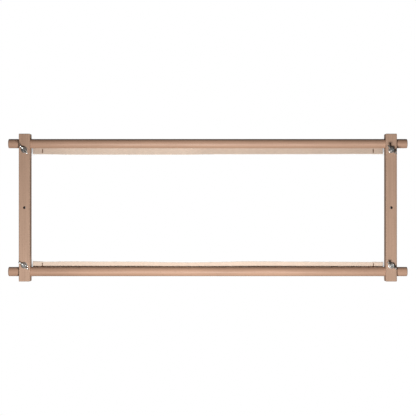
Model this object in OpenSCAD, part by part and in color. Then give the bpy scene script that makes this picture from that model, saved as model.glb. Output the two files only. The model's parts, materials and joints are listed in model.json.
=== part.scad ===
// Rotating tapestry frame, lying on its back with its wing nuts up.
// X runs along the rollers, Y along the arms and Z from the back to the front.
// The origin is the centre of the frame, on the surface that its bolt heads rest on.

/* [Rollers] */
// Diameter of the round rollers
roller_d = 20; // [16:0.5:26]
// Distance between the centres of the two rollers
roller_spacing = 278; // [180:1:500]
// Length of roller that stands out past each arm
roller_end = 24; // [5:1:60]
// Radius of the rounded edge at each end of a roller
roller_edge = 1.8; // [0.5:0.1:4]

/* [Arms] */
// Width of an arm, along the rollers
arm_w = 24; // [20:1:40]
// Depth of an arm, from its back to its front
arm_t = 30; // [28:1:45]
// Length of arm past the centre of each roller
arm_end = 21; // [16:1:50]
// Radius of the eased long edges of an arm
arm_edge = 1.2; // [0.4:0.1:3]
// Radius of the eased edges round the ends of an arm
arm_end_edge = 1.6; // [0.4:0.1:4]
// Diameter of the stand hole through the middle of each arm
stand_hole_d = 6; // [4:0.5:10]

/* [Split clamp] */
// Radial clearance between a roller and its hole in an arm
roller_clearance = 0.08; // [0.02:0.01:0.1]
// Width of the saw slot in each end of an arm
slot_w = 4; // [1.5:0.5:5]
// How far the slot runs past the centre of the bolt
slot_past_bolt = 20; // [8:1:50]
// Wood left between the roller's hole and the bolt's hole
bolt_web = 0.7; // [0.3:0.1:8]

/* [Coach bolts] */
// Diameter of the bolt's shank
bolt_d = 6; // [4:1:8]
// Radial clearance of the bolt in its hole through the arm
bolt_clearance = 0.2; // [0.1:0.05:0.6]
// Diameter of the domed head
bolt_head_d = 16.5; // [12:0.5:18]
// Height of the domed head
bolt_head_h = 3.5; // [2:0.1:5]
// Height of the straight rim under the dome
bolt_rim_h = 0.6; // [0.2:0.1:1]
// Side of the square neck that bites into the arm's back
bolt_neck_w = 6.4; // [6.2:0.1:9]
// Length of the square neck
bolt_neck_h = 4; // [2:0.5:5]
// Gap round the square neck
bolt_neck_gap = 0.05; // [0.02:0.01:0.2]
// Length of bolt that shows past the hub of the wing nut
bolt_tail = 1.5; // [0.5:0.5:6]
// Length of the chamfer on the bolt's end
bolt_chamfer = 0.6; // [0.2:0.1:0.8]

/* [Washers] */
// Outer diameter of a washer
washer_d = 14; // [12:0.5:20]
// Thickness of a washer
washer_t = 1.5; // [0.8:0.1:2.5]
// Radial clearance of the washer round the bolt
washer_clearance = 0.2; // [0.1:0.05:0.6]

/* [Wing nuts] */
// Distance across the tips of the two wings
wing_span = 27; // [24:0.5:36]
// Height of the wings above the washer
wing_h = 14; // [12:0.5:20]
// Radius of the rounded ear at the end of a wing
wing_ear_r = 3.4; // [2.5:0.1:4]
// Thickness of a wing where it leaves the hub
wing_root_t = 3.4; // [2:0.1:5]
// Thickness of a wing at its tip
wing_tip_t = 1.8; // [1:0.1:3]
// Diameter of the hub at its base
nut_base_d = 12; // [10:0.5:14]
// Diameter of the hub at its top
nut_top_d = 9.4; // [8.5:0.1:12]
// Height of the hub
nut_h = 7; // [5:0.5:9]
// Height of the straight foot of the hub
nut_foot_h = 1.2; // [0.5:0.1:3]
// Radial clearance of the nut's thread round the bolt
nut_clearance = 0.05; // [0.02:0.01:0.1]
// Turn of the top left wing nut from the line of the rollers
turn_top_left = -51; // [-90:1:90]
// Turn of the top right wing nut
turn_top_right = -48; // [-90:1:90]
// Turn of the bottom left wing nut
turn_bottom_left = -33; // [-90:1:90]
// Turn of the bottom right wing nut
turn_bottom_right = -41; // [-90:1:90]

/* [Tapes] */
// Length of a tape along its roller, over its hems
tape_len = 762; // [400:1:1200]
// Width of the tape
tape_w = 32; // [30:1:40]
// Thickness of the tape
tape_t = 1; // [0.6:0.1:1.5]
// Gap between each end of a tape and the arm beside it
tape_gap = 4; // [3.5:0.5:12]
// Width of the top tape that shows past its roller
top_tape_show = 13; // [8:0.5:16]
// Width of the bottom tape that shows past its roller
bottom_tape_show = 11.6; // [8:0.5:16]
// Rise of the free part of a tape towards the front, in degrees
tape_rise = 15; // [0:1:30]
// Length of the hem that is folded under each end of a tape
hem_len = 22; // [10:1:40]

/* [Tacks] */
// Number of tacks that hold each tape
tack_count = 13; // [5:1:25]
// Diameter of a tack's domed head
tack_head_d = 5; // [3:0.5:6]
// Height of a tack's domed head
tack_head_h = 1; // [0.5:0.1:1.5]
// Diameter of a tack's pin
tack_pin_d = 1.2; // [0.8:0.1:1.6]
// Length of a tack's pin inside the roller
tack_pin_len = 6; // [3:0.5:7]
// Radial clearance round a tack's pin
tack_clearance = 0.05; // [0.02:0.01:0.1]
// Distance along the tape from the inner end of a hem to the nearest tack
tack_from_hem = 9; // [5:1:40]
// Angle of the row of tacks round the roller, past the point where the tape leaves it
tack_angle = 28; // [15:1:35]

/* [Hidden] */
$fn = 96;

beech = [0.71, 0.56, 0.46];
steel = [0.66, 0.67, 0.68];
cotton = [0.86, 0.79, 0.7];
blued = [0.32, 0.31, 0.31];

// Extra length with which a cut passes through a face.
cut = 1;

roller_r = roller_d / 2;
roller_y = roller_spacing / 2;
roller_hole_r = roller_r + roller_clearance;
arm_x = tape_len / 2 + tape_gap + arm_w / 2;
arm_len = roller_spacing + 2 * arm_end;
roller_len = 2 * arm_x + arm_w + 2 * roller_end;

back_z = bolt_head_h;
mid_z = back_z + arm_t / 2;
front_z = back_z + arm_t;

bolt_r = bolt_d / 2;
bolt_hole_r = bolt_r + bolt_clearance;
bolt_y = roller_y - roller_hole_r - bolt_web - bolt_hole_r;
bolt_len = arm_t + washer_t + nut_h + bolt_tail;
slot_end_y = bolt_y - slot_past_bolt;
dome_h = bolt_head_h - bolt_rim_h;

// The two parts of a tape: a free part that leaves the roller straight, and a part that lies on it.
tape_leave = 90 - tape_rise;
tape_out_r = roller_r + tape_t;
tape_mid_r = roller_r + tape_t / 2;
tack_row = tape_leave + tack_angle;
tack_span = tape_len - 2 * (hem_len + tack_from_hem);
tack_pitch = tack_span / (tack_count - 1);

// Length of a tape's free part, for the width that shows past the roller.
function free_len(show) = (roller_r + show - tape_out_r * cos(tape_leave)) / sin(tape_leave);
// Angle of roller that the rest of the tape covers.
function lap_angle(show) = (tape_w - free_len(show)) / tape_mid_r * 180 / PI;
// Radius of the sphere whose cap has a given radius and height.
function cap_sphere_r(r, h) = (r * r + h * h) / (2 * h);
// Point where a line from p touches the circle of radius r round c, on the given side.
function touch_angle(p, c, r, side) =
    atan2(p[1] - c[1], p[0] - c[0]) + side * acos(r / norm(p - c));
function touch_point(p, c, r, side) =
    c + r * [cos(touch_angle(p, c, r, side)), sin(touch_angle(p, c, r, side))];

// A rectangle round the origin with rounded corners, from true circles.
module rounded_rect(w, h, r) {
    square([w - 2 * r, h], center = true);
    square([w, h - 2 * r], center = true);
    for (x = [-1, 1], y = [-1, 1])
        translate([x * (w / 2 - r), y * (h / 2 - r)])
            circle(r);
}

// Extrudes an outline along X, with its first axis along Y and its second along Z.
module along_x(len) {
    rotate([90, 0, 90])
        linear_extrude(len, center = true)
            children();
}

// Extrudes an outline along Y, with its first axis along X and its second along Z.
module along_y(len) {
    rotate([90, 0, 0])
        linear_extrude(len, center = true)
            children();
}

// A cap cut from a sphere, with its flat side at the origin and its dome along +Z.
module dome(r, h) {
    intersection() {
        translate([0, 0, h - cap_sphere_r(r, h)])
            sphere(cap_sphere_r(r, h));
        cylinder(h = 2 * h, r = 2 * r);
    }
}

// The bar that an arm is cut from: its edges are eased by crossing three outlines.
module arm_bar() {
    intersection() {
        along_y(arm_len)
            rounded_rect(arm_w, arm_t, arm_edge);
        along_x(arm_w)
            rounded_rect(arm_len, arm_t, arm_end_edge);
        linear_extrude(arm_t, center = true)
            rounded_rect(arm_w, arm_len, arm_end_edge);
    }
}

// What is cut from the +Y end of an arm: the roller's hole, the slot and the bolt's hole.
module clamp_cuts() {
    translate([0, roller_y, 0])
        along_x(arm_w + 2 * cut)
            circle(roller_hole_r);
    along_x(arm_w + 2 * cut) {
        translate([slot_end_y + slot_w / 2, 0])
            circle(slot_w / 2);
        translate([slot_end_y + slot_w / 2, -slot_w / 2])
            square([arm_len / 2 - slot_end_y, slot_w]);
    }
    translate([0, bolt_y, 0]) {
        cylinder(h = arm_t + 2 * cut, r = bolt_hole_r, center = true);
        translate([0, 0, -arm_t / 2 - cut])
            linear_extrude(bolt_neck_h + bolt_neck_gap + cut)
                square(bolt_neck_w + 2 * bolt_neck_gap, center = true);
    }
}

// A side arm, with a split clamp at each end and the stand hole in its middle.
module arm() {
    color(beech)
        difference() {
            arm_bar();
            clamp_cuts();
            mirror([0, 1, 0])
                clamp_cuts();
            cylinder(h = arm_t + 2 * cut, d = stand_hole_d, center = true);
        }
}

// The outline of half of a roller, whose corners are true arcs.
module roller_outline() {
    translate([0, -roller_len / 2])
        square([roller_r - roller_edge, roller_len]);
    translate([0, roller_edge - roller_len / 2])
        square([roller_r, roller_len - 2 * roller_edge]);
    for (end = [-1, 1])
        translate([roller_r - roller_edge, end * (roller_len / 2 - roller_edge)])
            circle(roller_edge);
}

// Places one copy at each tack, with +Z pointing out of the roller.
module at_tacks(out) {
    for (i = [0 : tack_count - 1])
        translate([i * tack_pitch - tack_span / 2, 0, 0])
            rotate([270 - tack_row, 0, 0])
                translate([0, 0, out])
                    children();
}

// A roller along X, with a pilot hole for each tack.
module roller() {
    color(beech)
        difference() {
            rotate([0, 90, 0])
                rotate_extrude()
                    roller_outline();
            at_tacks(roller_r - tack_pin_len - tack_clearance)
                cylinder(h = tack_pin_len + cut, r = tack_pin_d / 2 + tack_clearance);
        }
}

// A wedge from the roller's centre that covers one angle of it, from straight below it.
module lap_wedge(angle) {
    reach = 3 * tape_out_r;
    polygon([
        [0, 0],
        [0, -reach],
        [-reach * tan(angle / 2), -reach],
        [-reach * sin(angle), -reach * cos(angle)]
    ]);
}

// The section of a tape, out from the roller: a free part, and a part that laps the roller.
module tape_section(show, thickness) {
    rotate(tape_rise) {
        translate([0, -roller_r - thickness])
            square([free_len(show), thickness]);
        intersection() {
            difference() {
                circle(roller_r + thickness);
                circle(roller_r);
            }
            lap_wedge(lap_angle(show));
        }
    }
}

// A tape on a roller along X, with its free edge towards +Y and two thicknesses at each hem.
module tape(show) {
    color(cotton)
        difference() {
            union() {
                along_x(tape_len - 2 * hem_len)
                    tape_section(show, tape_t);
                for (end = [-1, 1])
                    translate([end * (tape_len - hem_len) / 2, 0, 0])
                        along_x(hem_len)
                            tape_section(show, 2 * tape_t);
            }
            at_tacks(roller_r - cut)
                cylinder(h = tape_t + 2 * cut, r = tack_pin_d / 2 + tack_clearance);
        }
}

// One tack, with the underside of its head at the origin.
module tack() {
    dome(tack_head_d / 2, tack_head_h);
    translate([0, 0, -tape_t - tack_pin_len])
        cylinder(h = tape_t + tack_pin_len + tack_head_h / 2, d = tack_pin_d);
}

// The row of tacks on a roller.
module tacks() {
    color(blued)
        at_tacks(tape_out_r)
            tack();
}

// A coach bolt, with the seat of its head at the origin and its shank along +Z.
module bolt() {
    color(steel)
        union() {
            mirror([0, 0, 1]) {
                cylinder(h = bolt_rim_h, d = bolt_head_d);
                translate([0, 0, bolt_rim_h])
                    dome(bolt_head_d / 2, dome_h);
            }
            linear_extrude(bolt_neck_h)
                square(bolt_neck_w, center = true);
            cylinder(h = bolt_len - bolt_chamfer, r = bolt_r);
            translate([0, 0, bolt_len - bolt_chamfer])
                cylinder(h = bolt_chamfer, r1 = bolt_r, r2 = bolt_r - bolt_chamfer);
        }
}

// A flat washer on the origin.
module washer() {
    color(steel)
        difference() {
            cylinder(h = washer_t, d = washer_d);
            translate([0, 0, -cut])
                cylinder(h = washer_t + 2 * cut, r = bolt_r + washer_clearance);
        }
}

// The side view of one wing: a round ear, drawn down to the hub.
module wing_outline() {
    ear = [wing_span / 2 - wing_ear_r, wing_h - wing_ear_r];
    low = [nut_base_d / 2 - wing_tip_t, 0];
    high = [nut_top_d / 2, nut_h - wing_tip_t / 2];
    translate(ear)
        circle(wing_ear_r);
    polygon([
        [bolt_r, 0],
        low,
        touch_point(low, ear, wing_ear_r, 1),
        ear,
        touch_point(high, ear, wing_ear_r, -1),
        high,
        [bolt_r, nut_h - wing_tip_t / 2]
    ]);
}

// The plan of one wing: it thins from the hub to the tip.
module wing_plan() {
    polygon([
        [0, -wing_root_t / 2],
        [wing_span / 2, -wing_tip_t / 2],
        [wing_span / 2, wing_tip_t / 2],
        [0, wing_root_t / 2]
    ]);
}

module wing() {
    intersection() {
        along_y(wing_root_t)
            wing_outline();
        linear_extrude(wing_h)
            wing_plan();
    }
}

// A wing nut on the origin, with its wings along X.
module wing_nut() {
    color(steel)
        difference() {
            union() {
                cylinder(h = nut_foot_h, d = nut_base_d);
                translate([0, 0, nut_foot_h])
                    cylinder(h = nut_h - nut_foot_h, d1 = nut_base_d, d2 = nut_top_d);
                wing();
                mirror([1, 0, 0])
                    wing();
            }
            translate([0, 0, -cut])
                cylinder(h = nut_h + 2 * cut, r = bolt_r + nut_clearance);
        }
}

// Places a piece at the middle of an arm: side is -1 on the left and 1 on the right.
module at_arm(side) {
    translate([side * arm_x, 0, mid_z])
        children();
}

// Places a piece at a roller with +Y towards the window: row is 1 at the top and -1 at the bottom.
module at_roller(row) {
    translate([0, row * roller_y, mid_z])
        mirror([0, row > 0 ? 1 : 0, 0])
            children();
}

// Places a piece on the axis of a bolt, at height z.
module at_bolt(side, row, z) {
    translate([side * arm_x, row * bolt_y, z])
        children();
}

// Places a wing nut on its washer, turned as it was left.
module at_nut(side, row, turn) {
    at_bolt(side, row, front_z + washer_t)
        rotate(turn)
            children();
}

at_arm(-1) arm();  // left_arm
at_arm(1) arm();  // right_arm
at_roller(1) roller();  // top_roller
at_roller(-1) roller();  // bottom_roller
at_roller(1) tape(top_tape_show);  // top_tape
at_roller(-1) tape(bottom_tape_show);  // bottom_tape
at_roller(1) tacks();  // top_tape_tacks
at_roller(-1) tacks();  // bottom_tape_tacks
at_bolt(-1, 1, back_z) bolt();  // bolt_top_left
at_bolt(1, 1, back_z) bolt();  // bolt_top_right
at_bolt(-1, -1, back_z) bolt();  // bolt_bottom_left
at_bolt(1, -1, back_z) bolt();  // bolt_bottom_right
at_bolt(-1, 1, front_z) washer();  // washer_top_left
at_bolt(1, 1, front_z) washer();  // washer_top_right
at_bolt(-1, -1, front_z) washer();  // washer_bottom_left
at_bolt(1, -1, front_z) washer();  // washer_bottom_right
at_nut(-1, 1, turn_top_left) wing_nut();  // wing_nut_top_left
at_nut(1, 1, turn_top_right) wing_nut();  // wing_nut_top_right
at_nut(-1, -1, turn_bottom_left) wing_nut();  // wing_nut_bottom_left
at_nut(1, -1, turn_bottom_right) wing_nut();  // wing_nut_bottom_right
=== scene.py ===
"""Looks of a rotating tapestry frame: beech arms and rollers, cotton tapes and zinc-plated clamps.

Lengths are in metres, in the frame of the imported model: X along the rollers, Y along the arms, Z up.
"""

import json
import math

import bpy
import numpy as np
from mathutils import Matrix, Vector


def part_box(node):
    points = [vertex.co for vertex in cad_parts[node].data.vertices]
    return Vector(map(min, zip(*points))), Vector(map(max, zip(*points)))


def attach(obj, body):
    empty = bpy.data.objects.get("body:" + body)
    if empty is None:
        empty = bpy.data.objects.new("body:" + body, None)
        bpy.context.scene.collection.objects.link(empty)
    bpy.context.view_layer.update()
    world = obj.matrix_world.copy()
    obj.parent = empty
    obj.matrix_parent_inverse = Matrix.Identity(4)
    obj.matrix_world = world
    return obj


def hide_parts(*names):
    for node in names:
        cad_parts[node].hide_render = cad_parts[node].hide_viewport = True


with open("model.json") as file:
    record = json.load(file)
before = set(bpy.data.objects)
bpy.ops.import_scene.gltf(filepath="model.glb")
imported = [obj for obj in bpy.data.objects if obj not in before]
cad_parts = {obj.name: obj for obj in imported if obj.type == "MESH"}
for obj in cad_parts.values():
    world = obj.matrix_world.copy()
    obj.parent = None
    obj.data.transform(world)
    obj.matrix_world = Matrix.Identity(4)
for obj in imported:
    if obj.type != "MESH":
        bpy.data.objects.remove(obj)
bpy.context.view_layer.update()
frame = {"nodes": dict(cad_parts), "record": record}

MM = 0.001

# The photograph: straight down on the frame, with a long lens.
PHOTO_SIDE = 416
PHOTO_SCALE = 2.1737 * MM
CAMERA_HEIGHT = 2.9
CAMERA_SHIFT = (0.15, 0.4)
SENSOR = 36.0

# Studio: one soft lamp above the near side, as the shading of the two rollers shows.
LAMP_PLACE = (0.0, -0.42, 0.97)
LAMP_SIZE = (0.4, 0.25)
LAMP_POWER = 16
AMBIENT = 0.12
# How far the floor looks for nearby parts, and the ambient occlusion range over which its glow fades into
# painted shade in narrow gaps.
GAP_REACH = 22 * MM
GAP_DARK, GAP_WHITE = 0.12, 0.34

# Tape, hems and stitches.
TAPE_THICKNESS = 0.9 * MM
TAPE_WIDTH = 32 * MM
TAPE_SEAT = 0.03 * MM
TAPE_EDGE_ANGLE = 136.0
HEM = 22 * MM
FOLD_RADIUS = 0.47 * MM
STITCH_R = 0.24 * MM
BAR_STITCH_R = 0.26 * MM
SEWN_MARGIN = 1.5 * MM
BAR_SPAN = (11.5 * MM, 2.5 * MM)
# Width of tape that shows past its roller, at places along it from the left end to the right.
TOP_SHOW = ((-381, 12.6), (-330, 13.2), (-280, 14.0), (-60, 14.0), (0, 13.0), (200, 12.8), (381, 12.4))
BOTTOM_SHOW = (
    (-381, 12.4), (-350, 10.9), (-312, 12.1), (-250, 11.6), (-150, 11.4), (-60, 9.9),
    (0, 10.3), (90, 12.2), (190, 11.5), (300, 11.0), (381, 10.3),
)

# Clamp hardware.
THREAD_PITCH = 1.0 * MM
THREAD_DEPTH = 0.45 * MM
THREAD_LENGTH = 18 * MM
HEAD_R = 8.25 * MM
HEAD_RIM = 0.6 * MM
NECK_WIDTH = 6.4 * MM
NECK_HEIGHT = 4 * MM
SHANK_R = 3 * MM
WASHER_HOLE_R = 3.2 * MM
WASHER_ROUND_R = 0.35 * MM
WING_SPAN = 27 * MM
EAR_R = 3.4 * MM
NUT_BORE_R = 3.15 * MM
NUT_FOOT_R = 6 * MM
NUT_TOP_R = 4.7 * MM
NUT_HEIGHT = 7 * MM
NUT_VOXEL = 0.24 * MM


def corner_nodes(kind):
    """The four nodes of a kind, by the corner that each one is at."""
    corners = ("top_left", "top_right", "bottom_left", "bottom_right")
    return {corner: f"{kind}_{corner}" for corner in corners}


def middle(node):
    low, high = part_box(node)
    return (low + high) / 2


def body_of(node):
    """The body that a CAD node rides on."""
    return next(body for body, nodes in frame["record"]["behaviour"]["bodies"].items() if node in nodes)


# Shader nodes

def shader(tree, kind, inputs=(), **settings):
    """A shader node, whose inputs are given values or linked to sockets."""
    made = tree.nodes.new("ShaderNode" + kind)
    for name, value in settings.items():
        setattr(made, name, value)
    for name, value in dict(inputs).items():
        if isinstance(value, bpy.types.NodeSocket):
            tree.links.new(value, made.inputs[name])
        else:
            made.inputs[name].default_value = value
    return made


def new_material(name):
    """A material with a Principled shader, as (material, node tree, shader)."""
    material = bpy.data.materials.new(name)
    material.use_nodes = True
    tree = material.node_tree
    surface = next(n for n in tree.nodes if n.type == "BSDF_PRINCIPLED")
    return material, tree, surface


def stretched(tree, vector, scale, location=(0, 0, 0), rotation=(0, 0, 0)):
    """Coordinates that are moved, turned and then scaled."""
    turned = shader(tree, "Mapping", {"Vector": vector, "Location": location, "Rotation": rotation})
    return shader(tree, "Mapping", {"Vector": turned.outputs[0], "Scale": scale}).outputs[0]


def noise(tree, vector, scale, detail=3.0, roughness=0.55):
    inputs = {"Vector": vector, "Scale": scale, "Detail": detail, "Roughness": roughness}
    return shader(tree, "TexNoise", inputs).outputs["Fac"]


def remap(tree, value, low, high, to_low=0.0, to_high=1.0):
    """A value that goes from to_low to to_high as the input goes from low to high."""
    made = shader(tree, "MapRange", {0: value, 1: low, 2: high, 3: to_low, 4: to_high})
    made.interpolation_type = "SMOOTHSTEP"
    return made.outputs[0]


def maths(tree, operation, *values):
    return shader(tree, "Math", dict(enumerate(values)), operation=operation).outputs[0]


def blend_colour(tree, factor, first, second):
    made = shader(tree, "Mix", {0: factor, 6: first, 7: second}, data_type="RGBA")
    return made.outputs[2]


def bump(tree, height, strength, distance):
    inputs = {"Height": height, "Strength": strength, "Distance": distance}
    return shader(tree, "Bump", inputs).outputs[0]


# Materials

def beech(name, along, shift, pale, deep, roughness):
    """Beech cut from a solid log: growth rings, streaks along the grain, ray flecks and darker ends.

    along is the axis of the grain, and shift moves the piece to another place in the log.
    """
    material, tree, surface = new_material(name)
    place = shader(tree, "TexCoord")
    turn = (0, 0, 0) if along == "X" else (0, 0, math.radians(90))
    vector = place.outputs["Object"]

    ring_space = stretched(tree, vector, (0.06, 1, 1), shift, turn)
    rings = shader(
        tree, "TexWave",
        {"Vector": ring_space, "Scale": 95, "Distortion": 5.5,
         "Detail": 3, "Detail Scale": 1.2, "Detail Roughness": 0.6},
        wave_type="RINGS", rings_direction="X", wave_profile="SAW",
    ).outputs["Fac"]
    streak_space = stretched(tree, vector, (0.025, 1, 1), shift, turn)
    streaks = noise(tree, streak_space, 420, 4, 0.6)
    bands = noise(tree, streak_space, 70, 2)
    clouds = noise(tree, stretched(tree, vector, (0.35, 1, 1), shift, turn), 22, 3)
    fleck_space = stretched(tree, vector, (0.24, 1, 1), shift, turn)
    cells = shader(tree, "TexVoronoi", {"Vector": fleck_space, "Scale": 820, "Randomness": 1.0})
    chosen = maths(tree, "GREATER_THAN", shader(
        tree, "SeparateColor", {0: cells.outputs["Color"]}).outputs[0], 0.45)
    flecks = maths(tree, "MULTIPLY", remap(tree, cells.outputs["Distance"], 0.36, 0.2), chosen)
    pores = noise(tree, stretched(tree, vector, (0.05, 1, 1), shift, turn), 3200, 2, 0.7)

    colour = blend_colour(tree, remap(tree, bands, 0.3, 0.7), (*pale, 1), (*deep, 1))
    ring_tone = remap(tree, rings, 0.0, 1.0, 0.0, 0.3)
    colour = blend_colour(tree, ring_tone, colour, (*[c * 0.72 for c in deep], 1))
    streak_tone = remap(tree, streaks, 0.35, 0.75, 0.0, 0.28)
    colour = blend_colour(tree, streak_tone, colour, (*[c * 0.62 for c in deep], 1))
    cloud_tone = remap(tree, clouds, 0.25, 0.75, 0.0, 0.22)
    colour = blend_colour(tree, cloud_tone, colour, (*[c * 1.18 for c in pale], 1))
    fleck_tone = maths(tree, "MULTIPLY", flecks, 0.3)
    colour = blend_colour(tree, fleck_tone, colour, (*[c * 0.45 for c in deep], 1))

    facing = shader(tree, "SeparateXYZ", {0: place.outputs["Normal"]}).outputs[along]
    end = remap(tree, maths(tree, "ABSOLUTE", facing), 0.55, 0.95)
    end_tone = maths(tree, "MULTIPLY", end, 0.38)
    colour = blend_colour(tree, end_tone, colour, (*[c * 0.45 for c in deep], 1))
    tree.links.new(colour, surface.inputs["Base Color"])

    rough = remap(tree, streaks, 0.2, 0.8, roughness - 0.08, roughness + 0.12)
    tree.links.new(rough, surface.inputs["Roughness"])
    surface.inputs["Specular IOR Level"].default_value = 0.32
    relief = maths(tree, "MULTIPLY", pores, 0.6)
    relief = maths(tree, "ADD", relief, maths(tree, "MULTIPLY", streaks, 0.5))
    relief = maths(tree, "SUBTRACT", relief, maths(tree, "MULTIPLY", flecks, 0.35))
    tree.links.new(bump(tree, relief, 0.35, 0.08 * MM), surface.inputs["Normal"])
    return material


def cotton(name, colour, shade):
    """Unbleached cotton tape in a herringbone twill, from the cloth's own length and width."""
    material, tree, surface = new_material(name)
    cloth = shader(tree, "Attribute", attribute_name="cloth").outputs["Vector"]
    axes = shader(tree, "SeparateXYZ", {0: cloth})
    length, width = axes.outputs[0], axes.outputs[1]
    rib = maths(tree, "PINGPONG", width, 4 * MM)
    diagonal = maths(tree, "ADD", length, rib)
    twill = maths(tree, "SINE", maths(tree, "MULTIPLY", diagonal, 2 * math.pi / (1.5 * MM)))
    weft = maths(tree, "SINE", maths(tree, "MULTIPLY", length, 2 * math.pi / (0.55 * MM)))
    warp = maths(tree, "SINE", maths(tree, "MULTIPLY", width, 2 * math.pi / (0.7 * MM)))
    yarns = maths(tree, "MULTIPLY", weft, warp)
    slubs = noise(tree, stretched(tree, cloth, (0.12, 1, 1)), 1100, 3)
    soil = noise(tree, stretched(tree, cloth, (0.5, 1, 1)), 26, 4)

    tone = blend_colour(tree, remap(tree, slubs, 0.3, 0.75), (*colour, 1), (*shade, 1))
    tone = blend_colour(tree, remap(tree, twill, -1, 1, 0.0, 0.22), tone, (*[c * 0.72 for c in shade], 1))
    tone = blend_colour(tree, remap(tree, soil, 0.45, 0.8, 0.0, 0.35), tone, (*[c * 0.85 for c in shade], 1))
    tree.links.new(tone, surface.inputs["Base Color"])
    surface.inputs["Roughness"].default_value = 0.88
    surface.inputs["Sheen Weight"].default_value = 0.25
    surface.inputs["Sheen Roughness"].default_value = 0.6
    surface.inputs["Specular IOR Level"].default_value = 0.2
    height = maths(tree, "ADD", maths(tree, "MULTIPLY", twill, 0.6), maths(tree, "MULTIPLY", yarns, 0.4))
    height = maths(tree, "ADD", height, maths(tree, "MULTIPLY", slubs, 0.8))
    tree.links.new(bump(tree, height, 0.6, 0.1 * MM), surface.inputs["Normal"])
    return material


def thread(name, colour):
    """Sewing thread with a fine twist."""
    material, tree, surface = new_material(name)
    place = shader(tree, "TexCoord").outputs["Object"]
    twist = noise(tree, place, 4200, 2)
    shade = (*[c * 0.6 for c in colour], 1)
    tone = blend_colour(tree, remap(tree, twist, 0.3, 0.7), (*colour, 1), shade)
    tree.links.new(tone, surface.inputs["Base Color"])
    surface.inputs["Roughness"].default_value = 0.7
    tree.links.new(bump(tree, twist, 0.5, 0.05 * MM), surface.inputs["Normal"])
    return material


def steel(name, colour, roughness, mottle, relief):
    """Plated steel: mottled plating, fine scratches and a slightly uneven surface."""
    material, tree, surface = new_material(name)
    place = shader(tree, "TexCoord").outputs["Object"]
    plating = noise(tree, place, 900, 3)
    grit = noise(tree, place, 5200, 2)
    dull = (*[c * mottle for c in colour], 1)
    tone = blend_colour(tree, remap(tree, plating, 0.3, 0.7), (*colour, 1), dull)
    tree.links.new(tone, surface.inputs["Base Color"])
    surface.inputs["Metallic"].default_value = 1.0
    rough = remap(tree, plating, 0.25, 0.75, roughness - 0.07, roughness + 0.1)
    tree.links.new(rough, surface.inputs["Roughness"])
    height = maths(tree, "ADD", plating, maths(tree, "MULTIPLY", grit, 0.4))
    tree.links.new(bump(tree, height, relief, 0.08 * MM), surface.inputs["Normal"])
    return material


# Meshes

def add_mesh(name, points, faces, material, sharp=math.radians(35)):
    """A new object with smooth faces, apart from its sharp edges."""
    mesh = bpy.data.meshes.new(name)
    mesh.from_pydata([tuple(p) for p in points], [], faces)
    mesh.materials.append(material)
    mesh.polygons.foreach_set("use_smooth", [True] * len(mesh.polygons))
    mesh.set_sharp_from_angle(angle=sharp)
    mesh.update()
    made = bpy.data.objects.new(name, mesh)
    bpy.context.scene.collection.objects.link(made)
    return made


def ring_faces(rows, columns, first=0, close_rows=False):
    """Quads over a grid of points whose rows are closed rings."""
    faces = []
    last = rows if close_rows else rows - 1
    for i in range(last):
        for j in range(columns):
            a, b = first + i * columns, first + ((i + 1) % rows) * columns
            k = (j + 1) % columns
            faces.append((a + j, a + k, b + k, b + j))
    return faces


def turned(name, profile, material, segments=64, radius=None, closed=False):
    """A turned piece about Z. profile lists (radius, height), and radius(r, z, angles) may reshape a ring.

    An open profile gets a cap at each end, and a closed one is a ring with a hole.
    """
    angles = np.linspace(0, 2 * math.pi, segments, endpoint=False)
    points = []
    for r, z in profile:
        rs = np.full(segments, r) if radius is None else radius(r, z, angles)
        points += [(q * math.cos(t), q * math.sin(t), z) for q, t in zip(rs, angles)]
    faces = ring_faces(len(profile), segments, close_rows=closed)
    if not closed:
        faces.append(tuple(reversed(range(segments))))
        faces.append(tuple(range(len(points) - segments, len(points))))
    return add_mesh(name, points, faces, material)


def arc(centre, radius, start, end, steps):
    """Points along an arc, from one angle in degrees to another."""
    angles = np.radians(np.linspace(start, end, steps))
    return [(centre[0] + radius * math.cos(a), centre[1] + radius * math.sin(a)) for a in angles]


def set_piece(piece, node):
    """The piece stands for a CAD node, on its body."""
    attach(piece, body_of(node))
    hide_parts(node)


# Coach bolts

def bolt_profile(head_h, length):
    """(radius, height) rows of a coach bolt, whose head seats at height 0.

    A row whose radius is NECK_WIDTH becomes the square neck in bolt_shape.
    """
    dome_h = head_h - HEAD_RIM
    sphere_r = (HEAD_R ** 2 + dome_h ** 2) / (2 * dome_h)
    spread = math.degrees(math.asin(HEAD_R / sphere_r))
    dome = arc((0, sphere_r - head_h), sphere_r, -90, -90 + spread, 12)
    rows = [(max(r, 0.05 * MM), z) for r, z in dome]
    rows += [(HEAD_R, -0.15 * MM), (HEAD_R - 0.15 * MM, 0.0), (NECK_WIDTH, 0.0), (NECK_WIDTH, NECK_HEIGHT)]
    rows += [(SHANK_R, NECK_HEIGHT + 0.6 * MM), (SHANK_R, length - THREAD_LENGTH)]
    steps = int(THREAD_LENGTH / THREAD_PITCH * 8)
    rows += [(SHANK_R, length - THREAD_LENGTH * (1 - (i + 1) / steps)) for i in range(steps)]
    return rows


def bolt_shape(length):
    """How a bolt's rings depart from circles: a square neck, and a thread with a chamfered end."""
    start = length - THREAD_LENGTH

    def shape(r, z, angles):
        if r == NECK_WIDTH:
            half = NECK_WIDTH / 2
            square = half / np.maximum(np.abs(np.cos(angles)), np.abs(np.sin(angles)))
            return np.minimum(square, half * 1.36)
        if z <= start:
            return np.full(len(angles), r)
        turn = (z / THREAD_PITCH - angles / (2 * math.pi)) % 1
        ridge = np.clip(np.abs(2 * turn - 1) * 1.3 - 0.15, 0, 1)
        run_in = min(1, (z - start) / THREAD_PITCH)
        end = SHANK_R - 0.75 * max(0, z - (length - 0.7 * MM))
        return np.minimum(SHANK_R - THREAD_DEPTH * (1 - ridge) * run_in, end)

    return shape


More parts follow.
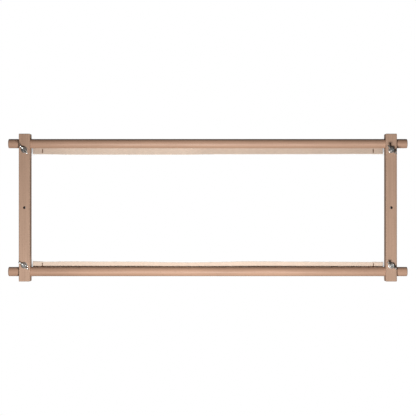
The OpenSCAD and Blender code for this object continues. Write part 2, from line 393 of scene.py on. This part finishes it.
def make_bolts(material):
    """The four coach bolts, each with a cut thread."""
    for corner, node in corner_nodes("bolt").items():
        low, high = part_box(node)
        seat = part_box("left_arm")[0].z
        length = high.z - seat
        rows = bolt_profile(seat - low.z, length)
        piece = turned(f"coach_bolt_{corner}", rows, material, 48, bolt_shape(length))
        piece.location = (*middle(node).xy, seat)
        set_piece(piece, node)


# Washers

def make_washers(material):
    """Stamped washers: the edge is rounded on the upper face and sharp below."""
    for corner, node in corner_nodes("washer").items():
        low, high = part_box(node)
        outer, inner, height = (high.x - low.x) / 2, WASHER_HOLE_R, high.z - low.z
        round_r = WASHER_ROUND_R
        rows = [(inner, 0.1 * MM), (inner + 0.1 * MM, 0), (outer - 0.08 * MM, 0), (outer, 0.08 * MM)]
        rows += arc((outer - round_r, height - round_r), round_r, 0, 90, 5)
        rows += [(inner + 0.2 * MM, height), (inner, height - 0.2 * MM)]
        piece = turned(f"flat_washer_{corner}", rows, material, 64, closed=True)
        piece.location = (*middle(node).xy, low.z)
        set_piece(piece, node)


# Wing nuts

def wing_outline(height):
    """Side view of one wing, from the hub out: an ear that is drawn down to the foot of the hub."""
    outer = arc((WING_SPAN / 2 - EAR_R, height - EAR_R), EAR_R, -38, 152, 20)
    below = [(3.4 * MM, 0.6 * MM), (5.2 * MM, 0.5 * MM), (8.2 * MM, 3.9 * MM)]
    above = [(6.6 * MM, 8.4 * MM), (3.4 * MM, 6.6 * MM)]
    return below + outer + above


def add_wing(points, faces, height, side):
    """Adds one wing, which thins from the hub to its tip, to a list of points and faces."""
    outline = wing_outline(height)
    first, count = len(points), len(outline)
    for face in (-1, 1):
        for x, z in outline:
            half = (1.9 - 0.95 * x / (WING_SPAN / 2)) * MM
            points.append((side * x, side * face * half, z))
    for i in range(count):
        j = (i + 1) % count
        faces.append((first + i, first + j, first + count + j, first + count + i))
    faces.append(tuple(first + i for i in reversed(range(count))))
    faces.append(tuple(first + count + i for i in range(count)))


def forged_nut(height, material):
    """The mesh of a wing nut: its hub and wings are joined and smoothed, as in a forging."""
    bore, foot, top, hub_h = NUT_BORE_R, NUT_FOOT_R, NUT_TOP_R, NUT_HEIGHT
    rows = [(bore, 0), (foot - 0.3 * MM, 0), (foot, 0.3 * MM), (foot, 1.2 * MM), (top, hub_h - 0.5 * MM)]
    rows += [(top - 0.5 * MM, hub_h), (bore, hub_h)]
    hub = turned("nut_hub", rows, material, 64, closed=True)
    points = [tuple(v.co) for v in hub.data.vertices]
    faces = [tuple(p.vertices) for p in hub.data.polygons]
    bpy.data.objects.remove(hub)
    for side in (-1, 1):
        add_wing(points, faces, height, side)
    rough = add_mesh("nut_rough", points, faces, material)
    remesh = rough.modifiers.new("join", "REMESH")
    remesh.mode = "VOXEL"
    remesh.voxel_size = NUT_VOXEL
    smooth = rough.modifiers.new("soften", "SMOOTH")
    smooth.factor = 0.5
    smooth.iterations = 7
    bpy.context.view_layer.update()
    mesh = bpy.data.meshes.new_from_object(rough.evaluated_get(bpy.context.evaluated_depsgraph_get()))
    bpy.data.objects.remove(rough)
    mesh.polygons.foreach_set("use_smooth", [True] * len(mesh.polygons))
    return mesh


def turn_of(node):
    """How far a CAD wing nut is turned from the line of the rollers."""
    axis = middle(node).xy
    tip = max((v.co.xy - axis for v in frame["nodes"][node].data.vertices), key=lambda p: p.length)
    return math.atan2(tip.y, tip.x)


def make_wing_nuts(material):
    """The four wing nuts, each turned as it is in the CAD."""
    low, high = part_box("wing_nut_top_left")
    mesh = forged_nut(high.z - low.z, material)
    for corner, node in corner_nodes("wing_nut").items():
        piece = bpy.data.objects.new(f"winged_nut_{corner}", mesh.copy())
        bpy.context.scene.collection.objects.link(piece)
        piece.location = (*middle(node).xy, low.z)
        piece.rotation_euler.z = turn_of(node)
        set_piece(piece, node)


# Tapes

class Tape:
    """The shape of one tape: where any point of the cloth lies, by its length, width and depth."""

    def __init__(self, name, row, show):
        low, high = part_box(f"{row}_roller")
        self.name, self.row = name, row
        self.axis = (low + high) / 2
        self.roller_r = (high.z - low.z) / 2
        self.mid_r = self.roller_r + TAPE_SEAT + TAPE_THICKNESS / 2
        self.inward = -1 if row == "top" else 1
        self.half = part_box(f"{row}_tape")[1].x - FOLD_RADIUS - TAPE_THICKNESS / 2
        self.show_x = np.array([p[0] for p in show]) * MM
        self.show_w = np.array([p[1] for p in show]) * MM
        self.tilt_x = np.linspace(-0.4, 0.4, 161)
        self.tilt = np.array([self.tilt_for(self.smooth_show(x)) for x in self.tilt_x])

    def smooth_show(self, x):
        """The width that shows at x, blended softly between the places where it is given."""
        near = x + np.linspace(-14, 14, 9) * MM
        return float(np.interp(near, self.show_x, self.show_w).mean())

    def tilt_for(self, show):
        """The tilt at which the free part shows that width."""
        tilts = np.radians(np.linspace(2, 60, 117))
        leave = math.pi / 2 - tilts
        free = TAPE_WIDTH - self.mid_r * (math.radians(TAPE_EDGE_ANGLE) - leave)
        shown = self.mid_r * np.cos(leave) + free * np.sin(leave) - self.roller_r
        return float(np.interp(show, shown[::-1], tilts[::-1]))

    def at(self, x, width, depth):
        """The point at x along the roller, a width from the lapped edge and a depth out of the cloth."""
        tilt = float(np.interp(x, self.tilt_x, self.tilt))
        leave = math.pi / 2 - tilt
        lap = self.mid_r * (math.radians(TAPE_EDGE_ANGLE) - leave)
        free = max(0.0, width - lap)
        angle = leave + max(0.0, lap - width) / self.mid_r
        ripple = (0.25 * math.sin(x / 0.011 + 1.3) + 0.2 * math.sin(x / 0.0047)) * MM
        out = self.mid_r + depth + ripple * (free / (20 * MM)) ** 2
        y = out * math.cos(angle) + free * math.cos(tilt)
        z = -out * math.sin(angle) + free * math.sin(tilt)
        return Vector((x, self.axis.y + self.inward * y, self.axis.z + z))


def folded_length(half):
    """Stations along the cloth, from one hem's raw end to the other: (x, depth, normal x, normal depth)."""
    step = 3 * MM
    depth = 2 * FOLD_RADIUS
    hem = [(-half + HEM - i * HEM / 8, depth, 0, -1) for i in range(8)]
    fold = []
    for t in np.radians(np.linspace(-90, -270, 9)):
        x, lift = FOLD_RADIUS * math.cos(t), FOLD_RADIUS * math.sin(t)
        fold.append((-half + x, FOLD_RADIUS - lift, math.cos(t), -math.sin(t)))
    count = int(2 * half / step)
    flat = [(-half + 2 * half * i / count, 0, 0, 1) for i in range(1, count)]
    left = hem + [(x, d, -nx, -nd) for x, d, nx, nd in fold]
    right = [(-x, d, -nx, nd) for x, d, nx, nd in reversed(left)]
    return left + flat + right


def across_width():
    """Stations across the cloth as (width, share of the thickness): the two selvedges are rounded."""
    edge = 0.5 * MM
    rim = [(edge * (1 - math.cos(t)), math.sin(t)) for t in np.radians((12, 35, 60, 90))]
    inner = [(w, 1.0) for w in np.linspace(edge, TAPE_WIDTH - edge, 22)[1:-1]]
    return rim + inner + [(TAPE_WIDTH - w, s) for w, s in reversed(rim)]


def make_tape(tape, material):
    """The woven tape as one closed sheet, folded under at both ends."""
    stations, across = folded_length(tape.half), across_width()
    loop = across + [(w, -s) for w, s in reversed(across)]
    points, cloth = [], []
    length = 0.0
    for i, (x, depth, nx, nd) in enumerate(stations):
        if i:
            length += math.hypot(x - stations[i - 1][0], depth - stations[i - 1][1])
        for width, share in loop:
            h = share * TAPE_THICKNESS / 2
            points.append(tape.at(x + h * nx, width, depth + h * nd))
            cloth.append((length, width, 0.0))
    faces = ring_faces(len(stations), len(loop))
    faces.append(tuple(reversed(range(len(loop)))))
    faces.append(tuple(range(len(points) - len(loop), len(points))))
    piece = add_mesh(tape.name, points, faces, material, math.radians(60))
    attribute = piece.data.attributes.new("cloth", "FLOAT_VECTOR", "POINT")
    attribute.data.foreach_set("vector", np.array(cloth, np.float32).ravel())
    set_piece(piece, f"{tape.row}_tape")
    return piece


def add_stitch(points, faces, start, end, out, radius):
    """Adds one stitch, a short thread that dips into the cloth at both ends."""
    sides, rows = 6, 5
    along = (end - start).normalized()
    side = along.cross(out).normalized()
    first = len(points)
    for i in range(rows):
        t = i / (rows - 1)
        lift = math.sin(math.pi * t)
        middle_point = start.lerp(end, t) + out * radius * (1.1 * lift - 0.6)
        r = radius * (0.55 + 0.45 * lift)
        for k in range(sides):
            a = 2 * math.pi * k / sides
            points.append(middle_point + side * r * math.cos(a) + out * r * math.sin(a))
    faces += ring_faces(rows, sides, first)
    faces.append(tuple(first + k for k in reversed(range(sides))))
    faces.append(tuple(first + (rows - 1) * sides + k for k in range(sides)))


def outward(tape, x, width):
    """Unit vector out of the cloth, away from the roller."""
    return (tape.at(x, width, MM) - tape.at(x, width, 0)).normalized()


def sew_line(tape, x, widths, points, faces, depths):
    """A row of stitches across the tape at x, on both faces of the cloth."""
    for a, b in zip(widths[:-1], widths[1:]):
        gap = (b - a) * 0.12
        for depth, facing in depths:
            start, end = tape.at(x, a + gap, depth), tape.at(x, b - gap, depth)
            add_stitch(points, faces, start, end, outward(tape, x, (a + b) / 2) * facing, STITCH_R)


def sew_bar(tape, x, widths, points, faces, depths):
    """A zigzag bar that locks the end of a hem."""
    reach = 1.5 * MM
    for i, (a, b) in enumerate(zip(widths[:-1], widths[1:])):
        lean = reach if i % 2 else -reach
        for depth, facing in depths:
            start, end = tape.at(x - lean, a, depth), tape.at(x + lean, b, depth)
            add_stitch(points, faces, start, end, outward(tape, x, a) * facing, BAR_STITCH_R)


def make_stitches(tape, plain, dark):
    """The two sewn lines and the zigzag bar at each hem, as a list of pieces."""
    half_t = TAPE_THICKNESS / 2
    faces_of_cloth = ((-half_t, -1), (half_t + 2 * FOLD_RADIUS, 1))
    lines, bars = ([], []), ([], [])
    for end in (-1, 1):
        inner = end * (tape.half - HEM + 2 * MM)
        outer = end * (tape.half - 3 * MM)
        for x in (inner, outer):
            line = np.linspace(SEWN_MARGIN, TAPE_WIDTH - SEWN_MARGIN, 12)
            sew_line(tape, x, line, *lines, faces_of_cloth)
        bar = np.linspace(*[TAPE_WIDTH - reach for reach in BAR_SPAN], 22)
        sew_bar(tape, inner, bar, *bars, faces_of_cloth)
    pieces = []
    for kind, (points, faces), material in (("hem_stitches", lines, plain), ("hem_bars", bars, dark)):
        piece = add_mesh(f"{tape.row}_{kind}", points, faces, material)
        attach(piece, body_of(f"{tape.row}_tape"))
        pieces.append(piece)
    return pieces


# Materials and pieces of the object.

ARM_PALE, ARM_DEEP = (0.44, 0.285, 0.2), (0.36, 0.225, 0.155)
ROLLER_PALE, ROLLER_DEEP = (0.47, 0.29, 0.2), (0.38, 0.225, 0.15)

woods = {
    "left_arm": beech("beech_left_arm", "Y", (0.031, 0.047, 0.012), ARM_PALE, ARM_DEEP, 0.55),
    "right_arm": beech("beech_right_arm", "Y", (0.017, -0.061, 0.024), ARM_PALE, ARM_DEEP, 0.55),
    "top_roller": beech("beech_top_roller", "X", (0.2, 0.043, 0.03), ROLLER_PALE, ROLLER_DEEP, 0.5),
    "bottom_roller": beech("beech_bottom_roller", "X", (-0.3, 0.024, -0.037), ROLLER_PALE, ROLLER_DEEP, 0.5),
}
for node, wood in woods.items():
    target = frame["nodes"][node].data.materials
    target.clear()
    target.append(wood)

zinc = steel("zinc_plate", (0.62, 0.63, 0.62), 0.3, 0.8, 0.3)
forged = steel("zinc_forging", (0.5, 0.5, 0.48), 0.38, 0.72, 0.5)
blued = steel("blued_tack", (0.12, 0.12, 0.13), 0.4, 0.7, 0.4)
for row in ("top", "bottom"):
    target = frame["nodes"][f"{row}_tape_tacks"].data.materials
    target.clear()
    target.append(blued)
make_bolts(zinc)
make_washers(zinc)
make_wing_nuts(forged)

tape_cloth = cotton("cotton_herringbone", (0.66, 0.54, 0.44), (0.56, 0.44, 0.35))
pale_thread = thread("pale_thread", (0.55, 0.45, 0.36))
brown_thread = thread("brown_thread", (0.2, 0.12, 0.08))
for row, show in (("top", TOP_SHOW), ("bottom", BOTTOM_SHOW)):
    tape = Tape(f"{row}_webbing", row, show)
    webbing = make_tape(tape, tape_cloth)
    sewing = make_stitches(tape, pale_thread, brown_thread)


# Floor, light and camera.

def area_light(name, place, aim, size, power):
    data = bpy.data.lights.new(name, "AREA")
    data.shape = "RECTANGLE"
    data.size, data.size_y = size
    data.energy = power
    light = bpy.data.objects.new(name, data)
    light.location = place
    light.rotation_euler = (Vector(aim) - Vector(place)).to_track_quat("-Z", "Y").to_euler()
    bpy.context.scene.collection.objects.link(light)


def make_floor():
    """A white floor that glows evenly, with painted shade deep in narrow gaps where its glow is dimmed by
    ambient occlusion. It adds no light to the object.
    """
    half = 8
    corners = [(-half, -half, 0), (half, -half, 0), (half, half, 0), (-half, half, 0)]
    material, tree, surface = new_material("studio_floor")
    # Painted shade: the floor's glow is dimmed where ambient occlusion finds it closed in, such as the gap
    # between a tape's end and its arm.
    closed_in = shader(tree, "AmbientOcclusion", {"Distance": GAP_REACH}, samples=8)
    glow_with_painted_shade = remap(tree, closed_in.outputs["AO"], GAP_DARK, GAP_WHITE, 0.1, 1.0)
    surface.inputs["Base Color"].default_value = (0.0, 0.0, 0.0, 1)
    surface.inputs["Roughness"].default_value = 1.0
    surface.inputs["Specular IOR Level"].default_value = 0.0
    surface.inputs["Emission Color"].default_value = (1, 1, 1, 1)
    tree.links.new(glow_with_painted_shade, surface.inputs["Emission Strength"])
    floor = add_mesh("studio_floor", corners, [(0, 1, 2, 3)], material)
    floor.visible_diffuse = False
    floor.visible_glossy = False


def make_world(seen, felt):
    """An even surround: white where the camera sees it, and dim as a light."""
    world = bpy.data.worlds.new("studio")
    world.use_nodes = True
    tree = world.node_tree
    sky = next(n for n in tree.nodes if n.type == "BACKGROUND")
    to_camera = shader(tree, "LightPath").outputs["Is Camera Ray"]
    sky.inputs[0].default_value = (1, 1, 1, 1)
    tree.links.new(remap(tree, to_camera, 0, 1, felt, seen), sky.inputs[1])
    bpy.context.scene.world = world


make_floor()
make_world(1.0, AMBIENT)
area_light("lamp", LAMP_PLACE, (0, 0, 0), LAMP_SIZE, LAMP_POWER)

camera = bpy.data.cameras.new("camera")
camera.sensor_width = SENSOR
camera.lens = SENSOR * CAMERA_HEIGHT / (PHOTO_SIDE * PHOTO_SCALE)
camera.clip_end = 50
viewer = bpy.data.objects.new("camera", camera)
viewer.location = (
    CAMERA_SHIFT[0] * PHOTO_SCALE,
    -CAMERA_SHIFT[1] * PHOTO_SCALE,
    middle("top_roller").z + CAMERA_HEIGHT,
)
bpy.context.scene.collection.objects.link(viewer)
bpy.context.scene.camera = viewer
bpy.context.scene.view_settings.view_transform = "Standard"
